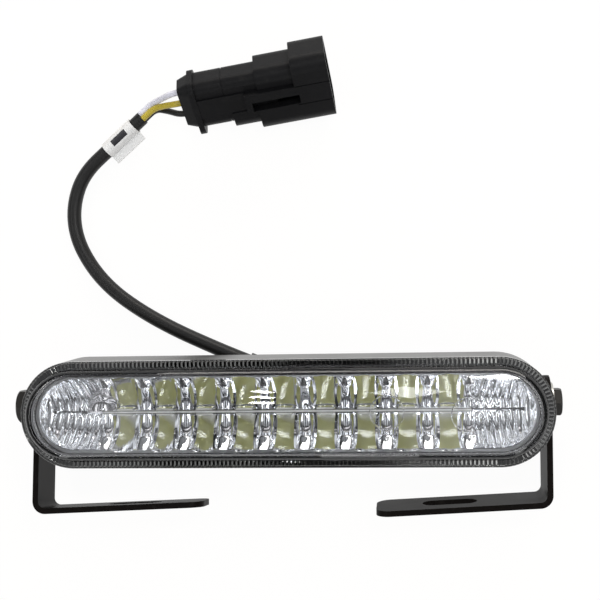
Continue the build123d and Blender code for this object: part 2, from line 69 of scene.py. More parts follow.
RIBS = 286
SAMPLES_PER_RIB = 4
RIB_BAND = (0.6, 2.0)
RIB_BAND_EDGES = (0.35, 2.3)
RIB_FOOT = 0.05
RIB_LIFT = 0.52
RIB_DIG = 0.18
WALL_RIB_RISES = (0.4, 2.6)
MARK_RINGS = ((31.0, 0.6), (54.6, -0.2))
MARK_RING_RADIUS = 4.9
MARK_RING_HALF = 0.22
MARK_RING_HEIGHT = 0.06

# Reflector, in millimetres: two rows of half cups beside the board and a fluted bowl at each end
CUPS = 9
CUP_PITCH = 12.3
CUP_HALF = 3.3
CUP_Z = 21.5
CUP_REACH = 11.1
CUP_RISE = 10.5
CUP_FOCAL = CUP_REACH ** 2 / (4 * CUP_RISE)
CELL_HALF = CUP_PITCH / 2
ROW_END = (CUPS / 2) * CUP_PITCH
WAIST = 0.75
WAIST_SWELL = 0.6
PILLAR_RADIUS = 2.6
PILLAR_SINK = 1.5
PILLAR_FADE = 3.5
PILLAR_GAP = 0.03
FLUTE_PITCH = 2.55
FLUTE_SAG = 0.24
FLUTE_LEAN = 0.12
FLUTE_FADE_IN = 2.5
FLUTE_FADE_OUT = 1.0
BLADE_FACE = 0.5
BOARD_FRONT_Z = 27.5
SLOT_HALF = 0.65
SLOT_STEP_Z = CUP_Z - 1.0
SLOT_END = 56.15
DIVIDER_START = 2.62
DIVIDER_FACES = (0.53, 0.68)
DIVIDER_SINK = 0.1
TROUGH_Z = 23.9
TROUGH_RISE = 7.5
TROUGH_SPREAD = 1.22
TROUGH_FOCAL = TROUGH_SPREAD * CUP_FOCAL
TROUGH_MOUTH = BLADE_FACE + math.sqrt(4 * TROUGH_FOCAL * TROUGH_RISE)
MOUTH_STEP = 0.02
MIRROR_HALF = 11.9
MIRROR_BASE_Z = 19.5
MIRROR_CREASE = 35
HALF_DOME_X = -56.7
HALF_DOME_Z = 24.5
HALF_DOME_RADIUS = 4.8
HALF_DOME_STEPS = (16, 24)
RIDGE_HALF = 0.5
RIDGE_END = 70.6
RIDGE_GAP = 0.02
ROOF_DROP = 0.3

# Steps of the reflector's grids: across a row from the board outwards, and along one cell
ACROSS = [SLOT_HALF, *np.linspace(1.0, TROUGH_MOUTH - MOUTH_STEP, 36), TROUGH_MOUTH + MOUTH_STEP, 11.3, 11.6,
          MIRROR_HALF]
BESIDE_CUP = [CUP_HALF + PILLAR_GAP + t * (CELL_HALF - CUP_HALF - PILLAR_GAP) for t in np.linspace(0, 1, 13)]
CELL_X = [-x for x in reversed(BESIDE_CUP)] + list(np.linspace(-CUP_HALF, CUP_HALF, 25)) + BESIDE_CUP

# Cable and marker sleeve, in millimetres
CABLE_RADIUS = 2.3
CABLE_ROUTE = [
    (-8.618, 11.010, 4.6), (-18.374, 14.892, 4.6), (-28.9, 19.3, 3.1), (-39.0, 23.9, 2.35),
    (-49.4, 29.8, 2.35), (-58.9, 36.7, 2.35), (-66.0, 44.8, 2.35), (-70.9, 54.6, 2.35),
    (-71.6, 65.0, 2.45), (-67.6, 75.6, 2.95), (-56.9, 84.5, 3.85), (-46.9, 92.9, 4.95),
]
SLEEVE_MIDDLE = (-54.5, 86.5, 4.1)
SLEEVE_ANGLE = 40.0
BAR_HALF_LENGTH = 3.0
BAR_HALF_WIDTH = 1.1
BAR_LIFT = 1.0

# Merging distances, in metres
LENS_MERGE = 1e-6
MIRROR_MERGE = 5e-6
SPECK = 1e-7


# Camera at the photograph's viewing angle
def turn(axis, degrees):
    return Matrix.Rotation(math.radians(degrees), 4, axis)


camera = bpy.data.objects.new("camera", bpy.data.cameras.new("camera"))
camera.data.sensor_width = 36.0
camera.data.lens = 64.366
camera.data.clip_start = 0.01
camera.data.clip_end = 20.0
place = Matrix.Translation(Vector((36.18, 43.92, 348.99)) * MM)
camera.matrix_world = place @ turn("Y", 5.47) @ turn("X", -1.85) @ turn("Z", -1.19)
scene.collection.objects.link(camera)
scene.camera = camera


# Node helpers: each takes sockets or plain values and gives back the socket of its result
def add(tree, kind, **values):
    node = tree.nodes.new(kind)
    for key, value in values.items():
        setattr(node, key, value)
    return node


def feed(tree, socket, value):
    if isinstance(value, bpy.types.NodeSocket):
        tree.links.new(value, socket)
    else:
        socket.default_value = value


def maths(tree, operation, *values):
    node = add(tree, "ShaderNodeMath", operation=operation)
    for socket, value in zip(node.inputs, values):
        feed(tree, socket, value)
    return node.outputs["Value"]


def vector_maths(tree, operation, *values):
    node = add(tree, "ShaderNodeVectorMath", operation=operation)
    for socket, value in zip(node.inputs, values):
        feed(tree, socket, value)
    return node.outputs["Value" if operation in ("LENGTH", "DISTANCE") else "Vector"]


def ranged(tree, value, low, high, first=0.0, last=1.0):
    node = add(tree, "ShaderNodeMapRange")
    for name, number in (("From Min", low), ("From Max", high), ("To Min", first), ("To Max", last)):
        node.inputs[name].default_value = number
    tree.links.new(value, node.inputs["Value"])
    return node.outputs["Result"]


def blend(tree, kind, factor, first, second):
    node = add(tree, "ShaderNodeMix", data_type=kind)
    for name, value in (("Factor", factor), ("A", first), ("B", second)):
        feed(tree, node.inputs[name], value)
    return node.outputs["Result"]


def noise(tree, vector, scale, detail=2.0):
    node = add(tree, "ShaderNodeTexNoise")
    node.inputs["Detail"].default_value = detail
    feed(tree, node.inputs["Scale"], scale)
    tree.links.new(vector, node.inputs["Vector"])
    return node.outputs["Fac"]


def relief(tree, height, depth, strength, under=None):
    node = add(tree, "ShaderNodeBump")
    node.inputs["Strength"].default_value = strength
    node.inputs["Distance"].default_value = depth * MM
    tree.links.new(height, node.inputs["Height"])
    if under is not None:
        tree.links.new(under, node.inputs["Normal"])
    return node.outputs["Normal"]


def axes(tree, vector):
    split = add(tree, "ShaderNodeSeparateXYZ")
    tree.links.new(vector, split.inputs["Vector"])
    return split.outputs["X"], split.outputs["Y"], split.outputs["Z"]


def object_coordinates(tree):
    return add(tree, "ShaderNodeTexCoord").outputs["Object"]


# Material helpers
def new_material(name):
    material = bpy.data.materials.new(name)
    material.use_nodes = True
    tree = material.node_tree
    return material, tree, tree.nodes["Principled BSDF"]


def source(shader, name):
    # socket that feeds one of the shader's inputs
    return shader.inputs[name].links[0].from_socket


def tint_where(tree, shader, mask, colour):
    # lays a colour over the finish where the mask is 1
    tinted = blend(tree, "RGBA", mask, source(shader, "Base Color"), colour)
    tree.links.new(tinted, shader.inputs["Base Color"])


DUST_COLOUR = (0.4, 0.37, 0.33, 1.0)
GRAIN_STRENGTH = 0.4
FINE_GRAIN = 2500.0


def make_surface_group():
    # soft blotches, fine grain and dust on upward faces, shared by the finishes
    group = bpy.data.node_groups.new("surface_variation", "ShaderNodeTree")
    face = group.interface
    face.new_socket("Vector", in_out="INPUT", socket_type="NodeSocketVector")
    for name, value in (("Blotch Scale", 60.0), ("Grain Scale", FINE_GRAIN)):
        socket = face.new_socket(name, in_out="INPUT", socket_type="NodeSocketFloat")
        socket.default_value = value
    for name in ("Blotch", "Grain", "Dust"):
        face.new_socket(name, in_out="OUTPUT", socket_type="NodeSocketFloat")
    inside = group.nodes.new("NodeGroupInput")
    outside = group.nodes.new("NodeGroupOutput")
    spot = inside.outputs["Vector"]
    specks = ranged(group, noise(group, spot, 420.0, 5.0), 0.55, 0.72)
    upward = axes(group, add(group, "ShaderNodeNewGeometry").outputs["Normal"])[2]
    results = {
        "Blotch": noise(group, spot, inside.outputs["Blotch Scale"], 4.0),
        "Grain": noise(group, spot, inside.outputs["Grain Scale"]),
        "Dust": maths(group, "MULTIPLY", specks, ranged(group, upward, 0.3, 1.0)),
    }
    for name, result in results.items():
        group.links.new(result, outside.inputs[name])
    return group


SURFACE = make_surface_group()


def surface(tree, blotch, grain=FINE_GRAIN):
    group = add(tree, "ShaderNodeGroup", node_tree=SURFACE)
    group.inputs["Blotch Scale"].default_value = blotch
    group.inputs["Grain Scale"].default_value = grain
    tree.links.new(object_coordinates(tree), group.inputs["Vector"])
    return group.outputs


def varied(name, low, high, roughness=(0.4, 0.55), metallic=0.0, bump=0.02, blotch=60.0, grain=FINE_GRAIN,
           dust=0.0, specular=0.5):
    # finish whose colour and roughness wander between two values, with fine grain and a little dust
    material, tree, shader = new_material(name)
    link = tree.links.new
    marks = surface(tree, blotch, grain)
    colour = blend(tree, "RGBA", marks["Blotch"], (*low, 1.0), (*high, 1.0))
    if dust:
        colour = blend(tree, "RGBA", maths(tree, "MULTIPLY", marks["Dust"], dust), colour, DUST_COLOUR)
    link(colour, shader.inputs["Base Color"])
    link(ranged(tree, marks["Blotch"], 0.0, 1.0, *roughness), shader.inputs["Roughness"])
    link(relief(tree, marks["Grain"], bump, GRAIN_STRENGTH), shader.inputs["Normal"])
    shader.inputs["Metallic"].default_value = metallic
    shader.inputs["Specular IOR Level"].default_value = specular
    return material


def finish_to_mark(name, low, high, **values):
    # varied finish, with what is needed to lay marks over it by height and place
    material = varied(name, low, high, **values)
    tree = material.node_tree
    return material, tree, tree.nodes["Principled BSDF"]


def wall_masks(tree):
    # first mask is 1 in the upright wall round the window, second one in the flange outside it
    x, y, _ = axes(tree, object_coordinates(tree))
    past = maths(tree, "SUBTRACT", maths(tree, "ABSOLUTE", x), STRAIGHT_HALF * MM)
    flat = add(tree, "ShaderNodeCombineXYZ")
    tree.links.new(maths(tree, "MAXIMUM", past, 0.0), flat.inputs["X"])
    tree.links.new(y, flat.inputs["Y"])
    distance = vector_maths(tree, "LENGTH", flat.outputs["Vector"])
    wall = maths(tree, "COMPARE", distance, WALL_MIDDLE * MM, WALL_HALF * MM)
    flange = maths(tree, "GREATER_THAN", distance, (WALL_MIDDLE + WALL_HALF) * MM)
    return wall, flange


def moulded_ring(tree, x, y):
    # height of a fine plain ring round a point of the lens
    centred = vector_maths(tree, "SUBTRACT", object_coordinates(tree), (x * MM, y * MM, 0.0))
    flat = vector_maths(tree, "MULTIPLY", centred, (1.0, 1.0, 0.0))
    off = maths(tree, "SUBTRACT", vector_maths(tree, "LENGTH", flat), MARK_RING_RADIUS * MM)
    return ranged(tree, maths(tree, "ABSOLUTE", off), 0.0, MARK_RING_HALF * MM, 1.0, 0.0)


def clear_plastic():
    # clear window, dark in its upright wall, smoked in the flange, with two plain moulded rings
    material, tree, shader = new_material("clear_lens")
    link = tree.links.new
    wall, flange = wall_masks(tree)
    tint = blend(tree, "RGBA", wall, (0.97, 0.98, 0.99, 1.0), (0.05, 0.05, 0.055, 1.0))
    link(blend(tree, "RGBA", flange, tint, (0.16, 0.16, 0.155, 1.0)), shader.inputs["Base Color"])
    shader.inputs["Transmission Weight"].default_value = 1.0
    shader.inputs["IOR"].default_value = 1.49
    haze = ranged(tree, surface(tree, 90.0)["Blotch"], 0.0, 1.0, 0.0, 0.03)
    link(haze, shader.inputs["Roughness"])
    rings = [moulded_ring(tree, x, y) for x, y in MARK_RINGS]
    raised = relief(tree, maths(tree, "MAXIMUM", *rings), MARK_RING_HEIGHT, 1.0)
    link(raised, shader.inputs["Normal"])
    return material


def coated_mirror():
    # bright drawn coating, satin on the flat rim, greyer on the half dome and matt in a collar round it
    material, tree, shader = finish_to_mark("mirror_coating", (0.86, 0.87, 0.89), (0.93, 0.93, 0.94),
                                            roughness=(0.02, 0.06), metallic=1.0, bump=0.01)
    link = tree.links.new
    _, y, z = axes(tree, object_coordinates(tree))
    rim = ranged(tree, z, (RIM_Z - 0.2) * MM, (RIM_Z - 0.05) * MM)
    dome_middle = (HALF_DOME_X * MM, SLOT_HALF * MM, HALF_DOME_Z * MM)
    from_dome = vector_maths(tree, "DISTANCE", object_coordinates(tree), dome_middle)
    above = maths(tree, "GREATER_THAN", y, 0.5 * SLOT_HALF * MM)
    on_dome = maths(tree, "LESS_THAN", from_dome, (HALF_DOME_RADIUS + 0.04) * MM)
    round_dome = maths(tree, "COMPARE", from_dome, (HALF_DOME_RADIUS + 0.26) * MM, 0.2 * MM)
    dome = maths(tree, "MULTIPLY", on_dome, above)
    collar = maths(tree, "MULTIPLY", round_dome, above)
    colour = source(shader, "Base Color")
    rough = source(shader, "Roughness")
    for mask, tint, roughness in (
        (rim, (0.60, 0.60, 0.61, 1.0), 0.4),
        (dome, (0.52, 0.51, 0.52, 1.0), 0.12),
        (collar, (0.97, 0.97, 0.98, 1.0), 0.55),
    ):
        colour = blend(tree, "RGBA", mask, colour, tint)
        rough = blend(tree, "FLOAT", mask, rough, roughness)
    link(colour, shader.inputs["Base Color"])
    link(rough, shader.inputs["Roughness"])
    drawn = add(tree, "ShaderNodeMapping")
    drawn.inputs["Scale"].default_value = (2200.0, 90.0, 90.0)
    link(object_coordinates(tree), drawn.inputs["Vector"])
    streaks = noise(tree, drawn.outputs["Vector"], 1.0)
    link(relief(tree, streaks, 0.02, 0.5, under=source(shader, "Normal")), shader.inputs["Normal"])
    return material


def diode_finish():
    # yellow phosphor, with a painted highlight in pale cream towards the back of the lower row's diodes
    material, tree, shader = finish_to_mark("led_yellow", (0.58, 0.57, 0.17), (0.95, 0.94, 0.45),
                                            roughness=(0.12, 0.2), blotch=600.0, specular=0.95)
    _, y, z = axes(tree, object_coordinates(tree))
    # painted highlight: pale cream over the deepest part of the lower row's diodes only
    highlight_band = ranged(tree, z, 24.85 * MM, 24.5 * MM)
    painted_highlight = maths(tree, "MULTIPLY", maths(tree, "LESS_THAN", y, 0.0), highlight_band)
    tint_where(tree, shader, painted_highlight, (0.95, 0.94, 0.82, 1.0))
    return material


def board_finish():
    # white board whose front edge shows as a fine bright line between corners darkened by painted shade
    material, tree, shader = finish_to_mark("white_board", (0.84, 0.84, 0.82), (0.93, 0.93, 0.91),
                                            roughness=(0.3, 0.4))
    _, y, z = axes(tree, object_coordinates(tree))
    front = maths(tree, "GREATER_THAN", z, (BOARD_FRONT_Z - 0.02) * MM)
    # painted shade: both corners of the board's front edge are darkened so the bright line stays fine
    painted_shade_corners = ranged(tree, maths(tree, "ABSOLUTE", y), 0.22 * MM, 0.32 * MM)
    tint_where(tree, shader, maths(tree, "MULTIPLY", front, painted_shade_corners), (0.16, 0.16, 0.13, 1.0))
    return material


def printed_film():
    # white film with one plain dark bar printed along the cable
    material, tree, shader = finish_to_mark("white_film", (0.86, 0.86, 0.85), (0.93, 0.93, 0.92),
                                            roughness=(0.25, 0.35))
    turned = add(tree, "ShaderNodeMapping", vector_type="TEXTURE")
    turned.inputs["Location"].default_value = Vector(SLEEVE_MIDDLE) * MM
    turned.inputs["Rotation"].default_value = (0.0, 0.0, math.radians(SLEEVE_ANGLE))
    tree.links.new(object_coordinates(tree), turned.inputs["Vector"])
    x, y, z = axes(tree, turned.outputs["Vector"])
    along = maths(tree, "COMPARE", x, 0.0, BAR_HALF_LENGTH * MM)
    beside = maths(tree, "COMPARE", y, 0.0, BAR_HALF_WIDTH * MM)
    upper = maths(tree, "GREATER_THAN", z, BAR_LIFT * MM)
    bar = maths(tree, "MULTIPLY", maths(tree, "MULTIPLY", along, beside), upper)
    tint_where(tree, shader, bar, (0.02, 0.02, 0.025, 1.0))
    return material


PLAIN_FINISHES = {
    "black_housing": dict(low=(0.016, 0.014, 0.012), high=(0.030, 0.027, 0.023), roughness=(0.26, 0.36),
                          dust=0.03),
    "black_rubber": dict(low=(0.008, 0.008, 0.008), high=(0.016, 0.016, 0.016), roughness=(0.6, 0.75),
                         bump=0.04, specular=0.3),
    "cable_black": dict(low=(0.006, 0.006, 0.006), high=(0.013, 0.0125, 0.012), roughness=(0.34, 0.46),
                        bump=0.03, specular=0.35),
    "led_body": dict(low=(0.78, 0.77, 0.72), high=(0.88, 0.87, 0.83), roughness=(0.35, 0.45)),
    "chip_black": dict(low=(0.02, 0.02, 0.02), high=(0.04, 0.04, 0.04)),
    "zinc_steel": dict(low=(0.42, 0.41, 0.38), high=(0.58, 0.57, 0.54), roughness=(0.28, 0.42), metallic=1.0),
    "dark_steel": dict(low=(0.012, 0.011, 0.010), high=(0.03, 0.028, 0.025), roughness=(0.35, 0.5),
                       metallic=0.4, specular=0.4),
    "brass": dict(low=(0.6, 0.44, 0.18), high=(0.75, 0.58, 0.28), roughness=(0.25, 0.35), metallic=1.0),
    "black_paint": dict(low=(0.004, 0.003, 0.0025), high=(0.009, 0.007, 0.006), roughness=(0.36, 0.5),
                        bump=0.05, grain=1200.0, dust=0.012, specular=0.05),
    "wire_white": dict(low=(0.80, 0.80, 0.91), high=(0.86, 0.86, 0.95), roughness=(0.3, 0.4)),
    "wire_yellow": dict(low=(0.50, 0.38, 0.03), high=(0.62, 0.50, 0.05), roughness=(0.3, 0.4)),
    "black_nylon": dict(low=(0.004, 0.004, 0.0045), high=(0.009, 0.009, 0.010), roughness=(0.36, 0.48),
                        bump=0.06, grain=1800.0, dust=0.012, specular=0.16),
    "grey_silicone": dict(low=(0.3, 0.31, 0.33), high=(0.4, 0.41, 0.43), roughness=(0.5, 0.6)),
    "tinned_contacts": dict(low=(0.6, 0.59, 0.56), high=(0.74, 0.73, 0.7), roughness=(0.2, 0.3),
                            metallic=1.0),
}
FINISH = {name: varied(name, **values) for name, values in PLAIN_FINISHES.items()}
FINISH["mirror_coating"] = coated_mirror()
FINISH["white_board"] = board_finish()
FINISH["led_yellow"] = diode_finish()
FINISH["white_film"] = printed_film()
FINISH["clear_lens"] = clear_plastic()

for entry in frame["record"]["subparts"]:
    mesh = nodes[entry["node"]].data
    mesh.materials.clear()
    mesh.materials.append(FINISH[entry["material_slot"]])


def add_piece(name, mesh, slot, replaced):
    piece = bpy.data.objects.new(name, mesh)
    scene.collection.objects.link(piece)
    mesh.materials.clear()
    mesh.materials.append(FINISH[slot])
    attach(piece, "lamp")
    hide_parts(replaced)


# Lens: rings round the stadium outline, ribbed under the flange and inside the window's wall
def stadium_samples(count):
    # even steps round the outer outline, as a base point and an outward direction for each
    straight = 2 * STRAIGHT_HALF
    bend = math.pi * OUTER_RADIUS
    around = 2 * (straight + bend)
    bases, outs = [], []
    for i in range(count):
        s = around * i / count
        if s < straight:
            bases.append((STRAIGHT_HALF - s, 0.0))
            outs.append((0.0, 1.0))
        elif s < straight + bend:
            angle = math.pi / 2 + (s - straight) / OUTER_RADIUS
            bases.append((-STRAIGHT_HALF, 0.0))
            outs.append((math.cos(angle), math.sin(angle)))
        elif s < 2 * straight + bend:
            bases.append((s - straight - bend - STRAIGHT_HALF, 0.0))
            outs.append((0.0, -1.0))
        else:
            angle = 1.5 * math.pi + (s - 2 * straight - bend) / OUTER_RADIUS
            bases.append((STRAIGHT_HALF, 0.0))
            outs.append((math.cos(angle), math.sin(angle)))
    return np.array(bases), np.array(outs)


def crown(y, top, radius):
    return top - radius + np.sqrt(radius ** 2 - y ** 2)


def edge_drop(inset, radius):
    # how far a rounded edge lies below the crown at this inset
    reach = np.clip(radius - inset, 0.0, radius)
    return radius - math.sqrt(radius ** 2 - reach ** 2)


def make_lens():
    count = RIBS * SAMPLES_PER_RIB
    base, out = stadium_samples(count)
    tooth = np.abs((np.arange(count) % SAMPLES_PER_RIB) / SAMPLES_PER_RIB * 2 - 1)

    def ring(inset, height, lift=0.0, dig=0.0):
        flat = base + out * (OUTER_RADIUS - inset - dig * tooth)[:, None]
        return np.column_stack((flat, height + lift * tooth))

    def crowned_ring(inset, top, radius, drop):
        flat = base + out * (OUTER_RADIUS - inset)
        return np.column_stack((flat, crown(flat[:, 1], top, radius) - drop))

    outer = [
        ring(0.0, RIM_Z + LENS_GAP),
        ring(0.0, FLANGE_Z - FLANGE_CHAMFER),
        ring(FLANGE_CHAMFER, FLANGE_Z),
        ring(FLANGE_WIDTH - FLANGE_FILLET, FLANGE_Z),
        ring(FLANGE_WIDTH, FLANGE_Z + FLANGE_FILLET),
    ]
    for inset in CROWN_INSETS:
        drop = edge_drop(inset, CROWN_EDGE_RADIUS)
        outer.append(crowned_ring(FLANGE_WIDTH + inset, CROWN_Z, CROWN_RADIUS, drop))
    inner = [
        ring(RIB_BAND_EDGES[0], RIM_Z + LENS_GAP),
        ring(RIB_BAND[0], RIM_Z + RIB_FOOT, lift=RIB_LIFT),
        ring(RIB_BAND[1], RIM_Z + RIB_FOOT, lift=RIB_LIFT),
        ring(RIB_BAND_EDGES[1], RIM_Z + LENS_GAP),
        ring(WALL_FOOT_INSET, RIM_Z + LENS_GAP),
    ]
    inner += [ring(WALL_INSET, RIM_Z + rise, dig=-RIB_DIG) for rise in WALL_RIB_RISES]
    for inset in WINDOW_INSETS:
        drop = edge_drop(inset, WINDOW_EDGE_RADIUS)
        inner.append(crowned_ring(WALL_INSET + inset, CROWN_Z - LENS_WALL, CROWN_RADIUS - LENS_WALL, drop))
    rings = outer[::-1] + inner
    verts = np.concatenate(rings) * MM
    faces = []
    for a in range(0, (len(rings) - 1) * count, count):
        b = a + count
        for i in range(count):
            j = (i + 1) % count
            faces.append((a + i, a + j, b + j, b + i))
    mesh = bpy.data.meshes.new("lens_moulding")
    mesh.from_pydata(verts.tolist(), [], faces)
    shape = bmesh.new()
    shape.from_mesh(mesh)
    bmesh.ops.remove_doubles(shape, verts=shape.verts, dist=LENS_MERGE)
    bmesh.ops.dissolve_degenerate(shape, edges=shape.edges, dist=SPECK)
    bmesh.ops.recalc_face_normals(shape, faces=shape.faces)
    shape.to_mesh(mesh)
    shape.free()
    mesh.shade_smooth()
    mesh.set_sharp_from_angle(angle=math.radians(LENS_CREASE))
    add_piece("lens_moulding", mesh, "clear_lens", "lens")


# Reflector: height of the metallised surface over the lamp's plane
def trough(distance):
    return TROUGH_Z + (max(distance, BLADE_FACE) - BLADE_FACE) ** 2 / (4 * TROUGH_FOCAL)


def steepness(distance):
    return math.sqrt(1 + ((max(distance, BLADE_FACE) - BLADE_FACE) / (2 * TROUGH_FOCAL)) ** 2)


def pillar_height(offset, y):
    # round-faced pillar on the trough's wall, fading out towards the mouth
    if y > TROUGH_MOUTH:
        return RIM_Z
    bulge = math.sqrt(max(0.0, PILLAR_RADIUS ** 2 - offset ** 2)) - PILLAR_SINK
    bulge *= min(1.0, (TROUGH_MOUTH - y) / PILLAR_FADE)
    return min(RIM_Z, trough(y) + max(0.0, bulge) * steepness(y))


def cell_height(x, y):
    # a cup in the middle of the cell, and half a round-faced pillar at each side of it
    if abs(x) <= CUP_HALF:
        return min(RIM_Z, CUP_Z + (x ** 2 + (y - BLADE_FACE) ** 2) / (4 * CUP_FOCAL))
    return pillar_height(abs(x) - CELL_HALF, y)


def cell_point(x, y):
    # spot of the cell, drawn in halfway up where the pillars bulge into the cup
    share = min(1.0, (y - SLOT_HALF) / (TROUGH_MOUTH - SLOT_HALF))
    waist = WAIST * max(0.0, math.sin(math.pi * share)) ** WAIST_SWELL
    if abs(x) <= CUP_HALF:
        x *= 1 - waist / CUP_HALF
        return x, y, cell_height(x, y)
    spread = 1 + waist / (CELL_HALF - CUP_HALF)
    return math.copysign(CELL_HALF - (CELL_HALF - abs(x)) * spread, x), y, cell_height(x, y)


def scallop(turns):
    # 0 on the crest between two flutes and 1 in the middle of a flute
    share = turns - math.floor(turns)
    return 4 * share * (1 - share)


def end_height(x, y):
    # bowl-shaped end with upright flutes that lean outwards a little
    beyond = max(0.0, x - STRAIGHT_HALF)
    distance = math.hypot(beyond, y)
    if distance > TROUGH_MOUTH:
        return RIM_Z
    plain = pillar_height(x - ROW_END, distance) if beyond == 0.0 else trough(distance)
    turns = (x - FLUTE_LEAN * abs(y) - SLOT_END) / FLUTE_PITCH
    fade = min(1.0, distance / FLUTE_FADE_IN, (TROUGH_MOUTH - distance) / FLUTE_FADE_OUT)
    return plain - FLUTE_SAG * FLUTE_PITCH * scallop(turns) * fade


def tail_height(x, y):
    # surface past the last cell, on either side of either row
    if abs(x) > SLOT_END:
        return end_height(abs(x), abs(y))
    return pillar_height(abs(x) - ROW_END, abs(y))


def bowl_spot(side, angle, radius):
    return side * (STRAIGHT_HALF + radius * math.cos(angle)), radius * math.sin(angle)


# Reflector: grids of faces
def patch(shape, rows):
    grid = [[shape.verts.new(Vector(p) * MM) for p in row] for row in rows]
    for upper, lower in zip(grid, grid[1:]):
        for i in range(len(upper) - 1):
            shape.faces.new((upper[i], upper[i + 1], lower[i + 1], lower[i]))


def sheet(shape, along, across, point):
    patch(shape, [[point(u, v) for u in along] for v in across])


def slot_wall(shape, spots, height):
    # wall of the board's slot, in two steps from the base up to the metallised surface
    foot, step = ([(x, y, z) for x, y in spots] for z in (MIRROR_BASE_Z, SLOT_STEP_Z))
    patch(shape, [foot, step])
    patch(shape, [step, [(x, y, height(x, y)) for x, y in spots]])


def skirt(shape, spots):
    # outer wall, from the rim down to the base
    patch(shape, [[(x, y, z) for x, y in spots] for z in (RIM_Z, MIRROR_BASE_Z)])


def add_block(shape, low, high):
    places = [(x, y, z) for z in (low[2], high[2]) for y in (low[1], high[1]) for x in (low[0], high[0])]
    corners = [shape.verts.new(Vector(spot) * MM) for spot in places]
    for face in ((0, 2, 3, 1), (4, 5, 7, 6), (0, 1, 5, 4), (2, 6, 7, 3), (0, 4, 6, 2), (1, 3, 7, 5)):
        shape.faces.new([corners[i] for i in face])


def make_row_tree():
    # places one cell at every pitch of both rows; the second row is turned by half a turn
    tree = bpy.data.node_groups.new("cell_rows", "GeometryNodeTree")
    face = tree.interface
    face.new_socket("Geometry", in_out="INPUT", socket_type="NodeSocketGeometry")
    face.new_socket("Cells", in_out="INPUT", socket_type="NodeSocketInt")
    face.new_socket("Pitch", in_out="INPUT", socket_type="NodeSocketFloat")
    face.new_socket("Finish", in_out="INPUT", socket_type="NodeSocketMaterial")
    face.new_socket("Geometry", in_out="OUTPUT", socket_type="NodeSocketGeometry")
    inside = tree.nodes.new("NodeGroupInput")
    outside = tree.nodes.new("NodeGroupOutput")
    cells, pitch = inside.outputs["Cells"], inside.outputs["Pitch"]
    start = tree.nodes.new("ShaderNodeCombineXYZ")
    offset = tree.nodes.new("ShaderNodeCombineXYZ")
    line = tree.nodes.new("GeometryNodeMeshLine")
    row = tree.nodes.new("GeometryNodeInstanceOnPoints")
    turned = tree.nodes.new("GeometryNodeTransform")
    turned.inputs["Rotation"].default_value = (0.0, 0.0, math.pi)
    both = tree.nodes.new("GeometryNodeJoinGeometry")
    real = tree.nodes.new("GeometryNodeRealizeInstances")
    finish = tree.nodes.new("GeometryNodeSetMaterial")
    span = maths(tree, "MULTIPLY", maths(tree, "SUBTRACT", cells, 1.0), pitch)
    link = tree.links.new
    link(maths(tree, "MULTIPLY", span, -0.5), start.inputs["X"])
    link(pitch, offset.inputs["X"])
    link(cells, line.inputs["Count"])
    link(start.outputs["Vector"], line.inputs["Start Location"])
    link(offset.outputs["Vector"], line.inputs["Offset"])
    link(line.outputs["Mesh"], row.inputs["Points"])
    link(inside.outputs["Geometry"], row.inputs["Instance"])
    link(row.outputs["Instances"], turned.inputs["Geometry"])
    link(row.outputs["Instances"], both.inputs["Geometry"])
    link(turned.outputs["Geometry"], both.inputs["Geometry"])
    link(both.outputs["Geometry"], real.inputs["Geometry"])
    link(real.outputs["Geometry"], finish.inputs["Geometry"])
    link(inside.outputs["Finish"], finish.inputs["Material"])
    link(finish.outputs["Geometry"], outside.inputs["Geometry"])
    return tree


def set_input(modifier, name, value):
    for item in modifier.node_group.interface.items_tree:
        if item.in_out == "INPUT" and item.name == name:
            modifier[item.identifier] = value


def cell_rows():
    # both rows of cups and pillars as one plain mesh, with the walls of the board's slot under them
    shape = bmesh.new()
    sheet(shape, CELL_X, ACROSS, cell_point)
    slot_wall(shape, [(x, SLOT_HALF) for x in CELL_X], cell_height)
    sheet(shape, CELL_X, (MIRROR_HALF, SLOT_HALF), lambda x, y: (x, y, MIRROR_BASE_Z))
    skirt(shape, [(x, MIRROR_HALF) for x in CELL_X])
    for side in (-1, 1):
        start, end = sorted((side * DIVIDER_START, side * CELL_HALF))
        near, far = DIVIDER_FACES
        add_block(shape, (start, near, TROUGH_Z - DIVIDER_SINK), (end, far, BOARD_FRONT_Z))
    mesh = bpy.data.meshes.new("cell")
    shape.to_mesh(mesh)
    shape.free()
    cell = bpy.data.objects.new("cell", mesh)
    scene.collection.objects.link(cell)
    rows = cell.modifiers.new("rows", "NODES")
    rows.node_group = make_row_tree()
    set_input(rows, "Cells", CUPS)
    set_input(rows, "Pitch", CUP_PITCH * MM)
    set_input(rows, "Finish", FINISH["mirror_coating"])
    evaluated = cell.evaluated_get(bpy.context.evaluated_depsgraph_get())
    result = bpy.data.meshes.new_from_object(evaluated)
    bpy.data.objects.remove(cell)
    return result


